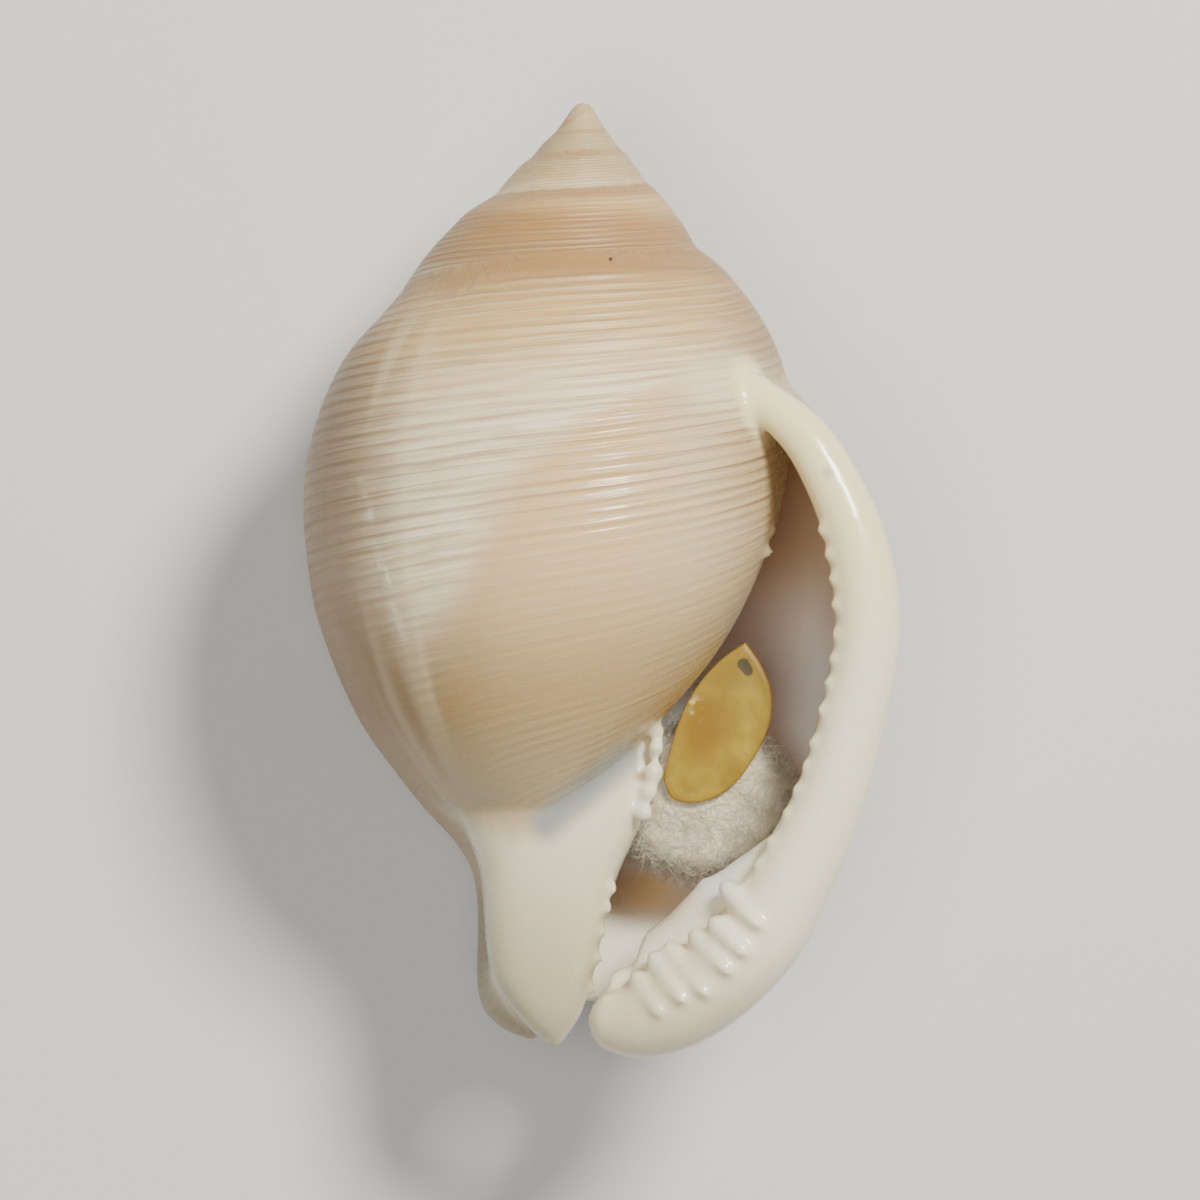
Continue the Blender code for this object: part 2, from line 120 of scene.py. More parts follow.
# Slope inside the front of the lip: where it begins along the rim, angle down, reach and thickness
APRON_FIRST = 0.58
APRON_SLOPE = 38
APRON_REACH = 3.6
APRON_THICKNESS = 1.5
APRON_CORNERS = 20
# Its size along the rim as a share: at the start, gained to full size, and where it falls again
APRON_START, APRON_SWELL, APRON_FALL = 0.15, 2, 2.6

# Soft mound where the lip starts on the body, as x, below apex, z and radius
LIP_START = (12.9, 21.6, 8.6, 2.3)

# Denticles on the inner edge of the lip: their count, radius, place across the rim as a share of
# its radius, and first and last place as a share of its length
DENTICLES = 15
DENTICLE_RADIUS = 0.62
DENTICLE_REACH, DENTICLE_RISE = 0.86, 0.3
DENTICLE_FIRST, DENTICLE_LAST = 0.22, 0.72

# Columella and its shield: distance below the apex, left edge, right edge, front and back
COLUMELLA = [(40.0, -4.5, 5.0, 3.5, -4.0), (44.0, -7.4, 7.2, 5.8, -5.0),
             (47.0, -8.5, 7.3, 6.4, -5.0), (50.0, -7.7, 7.0, 6.5, -4.2),
             (53.0, -6.6, 6.2, 6.3, -3.4), (56.0, -5.3, 5.0, 5.9, -2.5),
             (59.0, -4.8, 4.2, 5.5, -1.8), (62.0, -4.45, 3.75, 5.1, -1.4),
             (64.5, -3.8, 3.2, 4.7, -1.0), (66.6, -2.3, 2.6, 4.1, -0.6),
             (68.0, -0.8, 1.8, 3.3, -0.2), (68.9, 0.4, 1.2, 2.4, 0.4)]
COLUMELLA_SQUARENESS = 2.5
COLUMELLA_RINGS, COLUMELLA_CORNERS = 70, 56

# Knobs on the inner lip as x, below apex, z and radius
KNOBS = [(7.4, 45.6, 4.9, 0.55), (7.3, 46.8, 5.0, 0.65), (7.2, 48.6, 4.9, 0.8),
         (6.9, 50.0, 4.8, 0.75), (6.6, 51.6, 4.7, 0.7), (4.5, 57.2, 3.7, 0.5),
         (4.2, 58.6, 3.5, 0.5), (3.9, 60.4, 3.2, 0.45), (3.7, 62.4, 3.0, 0.45),
         (3.3, 64.6, 2.6, 0.45), (15.0, 30.6, 4.2, 0.5), (14.8, 32.3, 4.4, 0.45)]
KNOB_SUBDIVISIONS = 3

# Tip of the apex as distance below it and radius, and degrees between its corners
APEX = [(-0.1, 0.15), (0.0, 0.4), (0.3, 0.75), (0.8, 1.05), (1.3, 1.35), (2.0, 1.8), (2.7, 2.2),
        (3.4, 2.6)]
APEX_STEP = 10

# Merged surface: grid of the merge, smoothing passes and their strength, most triangles kept
MERGE_GRID = 0.3
SMOOTH_PASSES, SMOOTH_STRENGTH = 6, 0.5
MOST_TRIANGLES = 190000

# Left border of the glossy glaze beside the aperture, as distance below the apex and x
GLAZE_BORDER = [(17.0, 14.0), (19.2, 9.4), (22.4, 1.5), (27.8, -4.9), (38.2, -8.9), (47.0, -9.0),
                (54.0, -6.6), (68.0, -4.0)]

# Places on the front as x and distance below the apex: soft callus above the lip, worn band of old
# growth marks at the left and its line of beads, orange patch in the canal, grey spot on the lip,
# dark speck, small pit, upper edge of the shield and the line of painted shade in the crease over
# it
CALLUS_PLACE = (11.2, 20.6)
WORN_BAND = [(12.0, -8.0), (18.0, -12.6), (24.0, -14.2), (34.0, -13.6), (44.0, -10.0), (52.0, -6.0)]
BEAD_LINE = [(20.0, -15.4), (28.0, -15.0), (33.0, -13.6), (38.6, -11.7), (46.0, -9.0)]
ORANGE_PATCH = (7.2, 57.6)
LIP_SPOT = (18.8, 26.4)
SPECK = (2.5, 11.7)
PIT = (6.2, 49.0)
SHIELD_TOP = [(-9.0, 51.5), (-3.0, 53.0), (0.0, 52.2), (3.0, 49.6), (5.0, 47.4), (7.0, 44.6)]
CREASE_SHADE_LINE = ((5.2, 47.6), (-0.5, 52.6))
SHELL_LENGTH = 70.0

# Ridges of the whorls: radians of their wave from suture to base, and how far they sway
RIDGE_WAVE, RIDGE_SWAY = 420, 3.0

# Two neighbouring vertices whose rows differ more than this are on both sides of a suture
ROW_JUMP_AT_SEAM = 0.1

# Operculum: half-leaf outline (x, below apex), dark spot, height over the axis and thickness, and
# its section as share of the thickness and share of the outline, from the underside to the top
OPERCULUM = [(13.5, 38.9), (14.6, 40.3), (15.5, 42.3), (15.6, 44.2), (15.2, 45.8), (14.3, 47.6),
             (13.2, 49.2), (11.6, 50.4), (10.0, 50.8), (8.6, 50.5), (8.0, 49.4), (8.3, 47.2),
             (8.9, 44.8), (10.0, 42.4), (11.8, 40.2)]
OPERCULUM_SPOT = (13.4, 40.5)
OPERCULUM_HEIGHT = 1.4
OPERCULUM_THICKNESS = 0.55
OPERCULUM_CORNERS = 96
OPERCULUM_SECTION = ((-0.5, 0.04), (-0.5, 0.5), (-0.5, 0.95), (-0.3, 0.99), (0.0, 1.0),
                     (0.3, 0.99), (0.45, 0.96), (0.42, 0.9), (0.5, 0.75), (0.62, 0.5),
                     (0.68, 0.25), (0.7, 0.04))

# Cotton wool: loose fibres over the wad, how thin they get, the height that they stay under, the
# height (in metres) that they start above, and the share of the operculum that none crosses
WELD_DISTANCE = 0.00001
FIBRES = 3600
FIBRE_SEED = 7
FIBRE_SIDES = 3
FIBRE_RADIUS = 0.02
FIBRE_THINNING = 0.6
FIBRE_STEPS = 9
FIBRE_STEP = 0.42
FIBRE_TOP = 2.6
FIBRE_ROOTS_ABOVE = 0.014
LEAF_SHARE_KEPT_CLEAR = 0.82
LEAF_CORNERS = 39

# Photograph: size of a pixel on the shell's middle plane, the view's centre and its roll
PIXEL = 0.07315
VIEW_CENTRE = (0.152, -1.644, 21.105)
VIEW_ROLL = math.radians(2.4)
IMAGE_SIZE = 1200
CAMERA_DISTANCE = 700
SENSOR_WIDTH = 36

FLOOR_SIZE, FLOOR_DROP = 4, 0.0003


def curve(knots, values, at):
    """Smooth curve through values given at knots, read at other places."""
    knots, values, at = (np.asarray(item, float) for item in (knots, values, at))
    slopes = np.gradient(values, knots, axis=0)
    low = np.clip(np.searchsorted(knots, at) - 1, 0, len(knots) - 2)
    tail = (1,) * (values.ndim - 1)
    width = (knots[low + 1] - knots[low]).reshape(-1, *tail)
    f = (at - knots[low]).reshape(-1, *tail) / width
    start = (1 + 2 * f) * (1 - f) ** 2 * values[low] + f * (1 - f) ** 2 * width * slopes[low]
    end = f * f * (3 - 2 * f) * values[low + 1] - f * f * (1 - f) * width * slopes[low + 1]
    return start + end


def even_line(points, count):
    """Points spaced evenly along a smooth line through the given points."""
    points = np.asarray(points, float)
    reach = np.concatenate([[0], np.cumsum(np.linalg.norm(np.diff(points, axis=0), axis=1))])
    return curve(reach, points, np.linspace(0, reach[-1], count))


def smooth_step(value, low, high):
    f = np.clip((value - low) / (high - low), 0, 1)
    return f * f * (3 - 2 * f)


def spot(radius, turn, below):
    """Place from the radius, the turn angle in degrees and the distance below the apex."""
    radius, turn, below = np.broadcast_arrays(radius, turn, below)
    angle = np.radians(turn)
    return np.stack([radius * np.cos(angle), -below, radius * np.sin(angle)], axis=-1)


def whorl_sections(turn_step, rows):
    """Turn, radius and depth of every row of the whorl wall, for each step of growth."""
    lip = even_line(LIP, rows)
    lip_radius = np.hypot(lip[:, 0], lip[:, 2]) + LIP_WALL_INSET
    lip_turn = 360 + np.degrees(np.arctan2(lip[:, 2], lip[:, 0]))
    known = [even_line(section, rows) for section in SECTIONS]
    known.append(np.stack([lip_radius, lip[:, 1]], axis=-1))
    turns = np.arange(FIRST_TURN, LIP_TURN + turn_step / 2, turn_step)
    first = SECTION_TURNS[0]
    grown = curve(SECTION_TURNS, known, np.clip(turns, first, LIP_TURN))
    early = HALF_TURN_GROWTH ** (np.minimum(turns - first, 0) / 180)
    grown = grown * early[:, None, None]
    grown[:, :, 0] *= (1 - SPIRE_SLIMMING * np.clip((first - turns) / 180, 0, 1))[:, None]
    ease = smooth_step(turns, LIP_LEAN_TURN, LIP_TURN)[:, None]
    row_turns = turns[:, None] + ease * (lip_turn - LIP_TURN)[None, :]
    return turns, grown, row_turns, early


def loft(bm, rings):
    """Closed solid through rings of points, all with the same count."""
    rows = [[bm.verts.new(Vector(point) * MM) for point in ring] for ring in rings]
    count = len(rows[0])
    for low, high in zip(rows, rows[1:]):
        for i in range(count):
            j = (i + 1) % count
            bm.faces.new((low[i], low[j], high[j], high[i]))
    bm.faces.new(rows[0])
    bm.faces.new(rows[-1])


def whorls(bm):
    """Wall of the whorls as one spiral band, from near the apex to the lip."""
    _, grown, row_turns, early = whorl_sections(WALL_STEP, WALL_ROWS)
    rings = []
    for section, angles, scale in zip(grown, row_turns, early):
        along = np.gradient(section, axis=0)
        along /= np.linalg.norm(along, axis=1)[:, None]
        inward = np.stack([-along[:, 1], along[:, 0]], axis=-1)
        outer = np.vstack([section[:1] - along[:1] * scale, section])
        inner = section + inward * WALL * scale
        inner = inner[inner[:, 0] > 0.05]
        outer_turns = np.concatenate([angles[:1], angles])
        outer_ring = spot(outer[:, 0], outer_turns, outer[:, 1])
        keep = np.linspace(0, len(inner) - 1, len(section))
        inner = curve(np.arange(len(inner)), inner, keep)
        inner_ring = spot(inner[:, 0], angles, inner[:, 1])
        rings.append(np.vstack([outer_ring, inner_ring[::-1]]))
    loft(bm, rings)


def core(bm):
    """Solid middle of the older whorls, just under their wall."""
    turns, grown, _, _ = whorl_sections(WALL_STEP, WALL_ROWS)
    last_turn = (turns >= -180) & (turns < 180)
    rings = []
    for depth in np.linspace(CORE_TOP, CORE_BASE, CORE_RINGS):
        spire = max(CORE_SLOPE * depth - CORE_START, CORE_LEAST)
        radius = [max(spire if depth < section[0, 1] + CORE_UNDER_SUTURE else CORE_LEAST,
                      np.interp(depth, section[:, 1], section[:, 0] - CORE_UNDER_WALL,
                                left=CORE_LEAST, right=section[-1, 0] - CORE_UNDER_WALL))
                  for section in grown[last_turn]]
        rings.append(spot(radius, turns[last_turn], depth))
    loft(bm, rings)


def apex(bm):
    """Pointed first whorls, rounded at the tip."""
    turns = np.arange(0, 360, APEX_STEP)
    loft(bm, [spot(radius, turns, below) for below, radius in APEX])


def rim_frame():
    """Lip rim points, their radius, and two directions across the rim at each point."""
    line = even_line(LIP, RIM_POINTS)
    centre = np.stack([line[:, 0], -line[:, 1], line[:, 2]], axis=-1)
    along = np.gradient(centre, axis=0)
    along /= np.linalg.norm(along, axis=1)[:, None]
    out = np.cross((0, 0, 1), along)
    out /= np.linalg.norm(out, axis=1)[:, None]
    return centre, line[:, 3], out, np.cross(along, out)


def lip_rim(bm):
    """Thick rounded rim of the outer lip."""
    centre, radius, out, front = rim_frame()
    angles = np.linspace(0, 2 * math.pi, RIM_CORNERS, endpoint=False)
    rings = []
    for point, size, x, z in zip(centre, radius, out, front):
        rings.append(point + size * (np.cos(angles)[:, None] * x + np.sin(angles)[:, None] * z))
    first = (centre[0] + (rings[0] - centre[0]) * RIM_END_SIZE
             + (centre[0] - centre[1]) * RIM_END_STEPS)
    last = (centre[-1] + (rings[-1] - centre[-1]) * RIM_END_SIZE
            + (centre[-1] - centre[-2]) * RIM_END_STEPS)
    loft(bm, [first] + rings + [last])


def lip_apron(bm):
    """Slope inside the front end of the lip, from the folds down into the canal."""
    centre, _, out, front = rim_frame()
    first = int(APRON_FIRST * (len(centre) - 1))
    slope = math.radians(APRON_SLOPE)
    angles = np.linspace(0, 2 * math.pi, APRON_CORNERS, endpoint=False)
    rings = []
    for i in range(first, len(centre)):
        share = (i - first) / (len(centre) - 1 - first)
        size = min(APRON_START + APRON_SWELL * share, 1.0, APRON_FALL - APRON_SWELL * share)
        down = -out[i] * math.cos(slope) - front[i] * math.sin(slope)
        across = front[i] * math.cos(slope) - out[i] * math.sin(slope)
        reach = (1 + np.cos(angles)[:, None]) * down * APRON_REACH * size
        rings.append(centre[i] + reach + np.sin(angles)[:, None] * across * APRON_THICKNESS)
    loft(bm, rings)


def bar(bm, start, end, radius):
    """Rounded bar between two places."""
    start, end = np.array(start, float), np.array(end, float)
    along = (end - start) / np.linalg.norm(end - start)
    side = np.cross(along, (0, 0, 1))
    side /= np.linalg.norm(side)
    up = np.cross(side, along)
    angles = np.linspace(0, 2 * math.pi, FOLD_CORNERS, endpoint=False)
    circle = np.cos(angles)[:, None] * side + np.sin(angles)[:, None] * up
    loft(bm, [start + (end - start) * share + circle * radius * size
              for share, size in FOLD_SECTION])


def ball(bm, centre, radius):
    """Small round knob."""
    made = bmesh.ops.create_icosphere(bm, subdivisions=KNOB_SUBDIVISIONS, radius=radius * MM)
    bmesh.ops.translate(bm, verts=made["verts"], vec=Vector(centre) * MM)


def on_rim(x, below):
    """Place on the front of the lip rim at x and the distance below the apex."""
    centre, radius, _, _ = rim_frame()
    away = np.hypot(centre[:, 0] - x, centre[:, 1] + below)
    near = int(np.argmin(away))
    rise = math.sqrt(max(radius[near] ** 2 - away[near] ** 2, 0.0))
    return x, -below, centre[near, 2] + rise + FOLD_LIFT


def lip_details(bm):
    """Folds near the front end of the lip, denticles along its inner edge and its start mound."""
    for inner, outer in LIP_FOLDS:
        bar(bm, on_rim(*inner), on_rim(*outer), FOLD_RADIUS)
    centre, radius, out, front = rim_frame()
    x, below, z, size = LIP_START
    ball(bm, (x, -below, z), size)
    for share in np.linspace(DENTICLE_FIRST, DENTICLE_LAST, DENTICLES):
        i = int(share * (len(centre) - 1))
        offset = front[i] * DENTICLE_RISE - out[i] * DENTICLE_REACH
        ball(bm, centre[i] + offset * radius[i], DENTICLE_RADIUS)


def columella(bm):
    """Pillar of the axis with the shield on its front."""
    rows = np.array(COLUMELLA)
    depths = np.linspace(rows[0, 0], rows[-1, 0], COLUMELLA_RINGS)
    edges = curve(rows[:, 0], rows[:, 1:], depths)
    angles = np.linspace(0, 2 * math.pi, COLUMELLA_CORNERS, endpoint=False)
    cos, sin = np.cos(angles), np.sin(angles)
    power = 2 / COLUMELLA_SQUARENESS
    wide = np.sign(cos) * np.abs(cos) ** power
    deep = np.sign(sin) * np.abs(sin) ** power
    rings = []
    for depth, (left, right, front, back) in zip(depths, edges):
        x = (left + right) / 2 + wide * (right - left) / 2
        z = (front + back) / 2 + deep * (front - back) / 2
        rings.append(np.stack([x, np.full(len(x), -depth), z], axis=-1))
    loft(bm, rings)
    for x, below, z, radius in KNOBS:
        ball(bm, (x, -below, z), radius)


class Value:
    """A shader socket that adds its own maths nodes when it is used in an expression."""

    def __init__(self, shade, socket):
        self.shade = shade
        self.socket = socket

    def maths(self, operation, other, swap=False, clamp=False):
        pair = (other, self) if swap else (self, other)
        return self.shade.node("ShaderNodeMath", {"operation": operation, "use_clamp": clamp},
                               {0: pair[0], 1: pair[1]})

    def __add__(self, other):
        return self.maths("ADD", other)

    __radd__ = __add__

    def __sub__(self, other):
        return self.maths("SUBTRACT", other)

    def __rsub__(self, other):
        return self.maths("SUBTRACT", other, swap=True)

    def __mul__(self, other):
        return self.maths("MULTIPLY", other)

    __rmul__ = __mul__

    def __truediv__(self, other):
        return self.maths("DIVIDE", other)

    def __pow__(self, other):
        return self.maths("POWER", other)

    def sine(self):
        return self.shade.node("ShaderNodeMath", {"operation": "SINE"}, {0: self})

    def clamped(self):
        return self.maths("ADD", 0.0, clamp=True)

    def ramp(self, low, high):
        """0 below low, 1 above high, smooth between."""
        return self.shade.node("ShaderNodeMapRange", {"interpolation_type": "SMOOTHSTEP"},
                               {"Value": self, "From Min": low, "From Max": high})


class Shade:
    """A Principled material, built by expressions."""

    def __init__(self, name):
        self.material = bpy.data.materials.new(name)
        self.material.use_nodes = True
        self.tree = self.material.node_tree
        self.shader = self.tree.nodes["Principled BSDF"]

    def node(self, kind, settings=None, inputs=None, output=0):
        made = self.tree.nodes.new(kind)
        for name, value in (settings or {}).items():
            setattr(made, name, value)
        for name, value in (inputs or {}).items():
            self.feed(made.inputs[name], value)
        return Value(self, made.outputs[output])

    def feed(self, socket, value):
        if isinstance(value, Value):
            self.tree.links.new(value.socket, socket)
        elif socket.type == "RGBA" and len(value) == 3:
            socket.default_value = (*value, 1)
        else:
            socket.default_value = value

    def attribute(self, name):
        return self.node("ShaderNodeAttribute", {"attribute_name": name}, output=2)

    def place(self):
        """Object coordinates, in metres."""
        return self.node("ShaderNodeTexCoord", output=3)

    def place_part(self, axis):
        """One object coordinate, in mm."""
        return self.node("ShaderNodeSeparateXYZ", None, {0: self.place()}, output=axis) / MM

    def noise(self, scale, detail, vector=None):
        return self.node("ShaderNodeTexNoise", None,
                         {"Vector": vector or self.place(), "Scale": scale, "Detail": detail})

    def joined(self, x, y, z):
        return self.node("ShaderNodeCombineXYZ", None, {0: x, 1: y, 2: z})

    def ring(self, value, rise, full, fall, end):
        """1 between full and fall, 0 below rise and above end."""
        return value.ramp(rise, full) * (1 - value.ramp(fall, end))

    def across(self):
        """Distance to the right of the axis on the front, in mm."""
        return self.place_part(0) - APEX_PLACE[0]

    def down(self):
        """Distance below the apex on the front, in mm."""
        return APEX_PLACE[1] - self.place_part(1)

    def near(self, x, below, core, edge, stretch=1.0):
        """1 within core of a place on the front (in mm from the apex), 0 beyond edge."""
        away = (((self.across() - x) / stretch) ** 2 + (self.down() - below) ** 2) ** 0.5
        return 1 - away.ramp(core, edge)

    def mix(self, factor, first, second):
        return self.node("ShaderNodeMix", {"data_type": "RGBA"},
                         {0: factor, 6: first, 7: second}, output=2)

    def set(self, **values):
        for name, value in values.items():
            self.feed(self.shader.inputs[name.replace("_", " ")], value)

    def bump(self, height, strength, distance):
        normal = self.node("ShaderNodeBump", None,
                           {"Strength": strength, "Distance": distance, "Height": height})
        self.feed(self.shader.inputs["Normal"], normal)


def apply_modifiers(piece):
    bpy.ops.object.select_all(action="DESELECT")
    bpy.context.view_layer.objects.active = piece
    piece.select_set(True)
    for modifier in list(piece.modifiers):
        bpy.ops.object.modifier_apply(modifier=modifier.name)


def new_piece(name, bm):
    """Object from a bmesh, with its faces pointing out."""
    bmesh.ops.recalc_face_normals(bm, faces=bm.faces)
    mesh = bpy.data.meshes.new(name)
    bm.to_mesh(mesh)
    bm.free()
    piece = bpy.data.objects.new(name, mesh)
    bpy.context.scene.collection.objects.link(piece)
    return piece


def finish_piece(piece, shade, node):
    piece.data.materials.clear()
    piece.data.materials.append(shade.material)
    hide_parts(node)
    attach(piece, "root")


def vertices_of(piece):
    places = np.empty(len(piece.data.vertices) * 3)
    piece.data.vertices.foreach_get("co", places)
    return places.reshape(-1, 3)


def write_attribute(piece, name, values):
    layer = piece.data.attributes.new(name, "FLOAT", "POINT")
    layer.data.foreach_set("value", np.asarray(values, float))


def growth_at(places):
    """Row share, turn and side of the whorl wall at each place."""
    turns, grown, row_turns, _ = whorl_sections(LOOKUP_STEP, LOOKUP_ROWS)
    wall = spot(grown[..., 0], row_turns, grown[..., 1])
    rows = np.linspace(0, 1, wall.shape[1])
    down = np.gradient(wall, rows, axis=1)
    around = np.gradient(wall, turns, axis=0)
    outward = np.cross(down, around)
    outward /= np.linalg.norm(outward, axis=-1)[..., None] + 1e-9
    flat = wall.reshape(-1, 3)
    tree = KDTree(len(flat))
    for index, point in enumerate(flat):
        tree.insert(point, index)
    tree.balance()
    near = np.array([tree.find(place)[1] for place in places])
    turn_index, row_index = np.divmod(near, wall.shape[1])
    gap = places - flat[near]
    down_here = down[turn_index, row_index]
    around_here = around[turn_index, row_index]
    down_down, around_around = (down_here ** 2).sum(1), (around_here ** 2).sum(1)
    both = (down_here * around_here).sum(1)
    gap_down, gap_around = (gap * down_here).sum(1), (gap * around_here).sum(1)
    square = down_down * around_around - both ** 2 + 1e-9
    row = rows[row_index] + (gap_down * around_around - gap_around * both) / square
    turn = turns[turn_index] + (gap_around * down_down - gap_down * both) / square
    side = (gap * outward[turn_index, row_index]).sum(1)
    return row, turn, side


def seam_at(piece, row):
    """1 where one whorl meets the next and the row jumps, 0 away from there."""
    ends = np.empty(len(piece.data.edges) * 2, dtype=np.int32)
    piece.data.edges.foreach_get("vertices", ends)
    first, second = ends.reshape(-1, 2).T
    jump = np.abs(row[first] - row[second]) > ROW_JUMP_AT_SEAM
    seam = np.zeros(len(row))
    seam[first[jump]] = seam[second[jump]] = 1.0
    neighbours = np.bincount(ends, minlength=len(row))
    for _ in range(2):
        total = np.bincount(first, seam[second], len(row))
        total += np.bincount(second, seam[first], len(row))
        seam = np.maximum(seam, total / np.maximum(neighbours, 1))
    return seam


def from_line(x, below, start, end):
    """Distance from a straight line between two places on the front."""
    start, end = np.array(start), np.array(end)
    along = end - start
    share = ((x - start[0]) * along[0] + (below - start[1]) * along[1]) / (along ** 2).sum()
    share = np.clip(share, 0, 1)
    return np.hypot(x - start[0] - share * along[0], below - start[1] - share * along[1])


def surface_masks(piece):
    """Growth rows and the places of each finish and of the painted shade on the shell, kept on its
    vertices.
    """
    places = vertices_of(piece) / MM - APEX_PLACE
    x, below, z = places[:, 0], -places[:, 1], places[:, 2]
    row, turn, side = growth_at(places)
    centre, radius, _, _ = rim_frame()
    centre, radius = centre[::4], radius[::4]
    away = np.min(np.linalg.norm(places[:, None] - centre, axis=2) - radius, axis=1)
    border = np.interp(below, *np.array(GLAZE_BORDER).T)
    glaze = smooth_step(x - border, -1.4, 2.6) * smooth_step(z, -1, 3) * smooth_step(below, 17, 20)
    inner = smooth_step(np.abs(side), 0.5, 1.0) * (np.hypot(x, z) > 4) * (turn > 180)
    behind = (turn < 60) * (x > 6) * smooth_step(below, 20, 22) * (1 - smooth_step(z, 2, 6))
    under_top = below - np.interp(x, *np.array(SHIELD_TOP).T)
    shield = smooth_step(under_top, -0.8, 2.2) * smooth_step(z, 1, 3.5)
    shield *= 1 - smooth_step(np.hypot(x, z), 9, 12)
    from_callus = np.hypot((x - CALLUS_PLACE[0]) * 0.7, below - CALLUS_PLACE[1])
    callus = 1 - smooth_step(from_callus, 0.6, 3.4)
    # Painted shade in the crease where the body turns under onto the shield
    crease_shade = (1 - smooth_step(from_line(x, below, *CREASE_SHADE_LINE), 0.2, 2.0)) * smooth_step(z, 2, 4)
    wear = np.interp(below, *np.array(WORN_BAND).T)
    worn = (1 - smooth_step(np.abs(x - wear), 1.0, 4.0)) * smooth_step(below, 14, 20)
    bead = np.interp(below, *np.array(BEAD_LINE).T)
    beads = (1 - smooth_step(np.abs(x - bead), 0.1, 0.5)) * smooth_step(below, 27, 30)
    beads *= 1 - smooth_step(below, 38, 41)
    normals = np.empty(len(places) * 3)
    piece.data.vertex_normals.foreach_get("vector", normals)
    facing = smooth_step(normals.reshape(-1, 3)[:, 2], 0.0, 0.3)
    canal = smooth_step(below, 53.5, 56.5) * smooth_step(x, 4.0, 5.4) * facing
    # Lobe behind the shield, for its grey-brown colour and painted shade
    lobe_grey_and_shade = smooth_step(below, 56, 60) * (1 - smooth_step(z, 1.6, 3.4)) * (x < 1.5)
    # Painted shade with a brown tint on the left flank, the lower left and the right shoulder,
    # where the light falls off; together they make the edge mask
    flank_shade_and_tint = smooth_step(-x, 10, 19) + smooth_step(-x, 2, 12) * smooth_step(below, 34, 46)
    shoulder_shade_and_tint = smooth_step(x, 8, 17) * (1 - smooth_step(below, 26, 32))
    shoulder_shade_and_tint *= (turn < 200) * smooth_step(z, -4, 4)
    masks = {"row": row, "turn": turn / 360, "below": below / SHELL_LENGTH,
             "glaze": glaze, "shield": shield, "crease_shade": crease_shade, "lobe_grey_and_shade": lobe_grey_and_shade,
             "rim": 1 - smooth_step(away, 0.1, 1.6),
             "inside": np.clip(inner + behind + canal, 0, 1),
             "callus": callus * smooth_step(z, 2, 6),
             "worn": worn * smooth_step(z, 0, 4),
             "beads": beads * (z > 0),
             "edge": np.clip(flank_shade_and_tint + shoulder_shade_and_tint * 0.9, 0, 1),
             "seam": seam_at(piece, row)}
    for name, values in masks.items():
        write_attribute(piece, name, values)


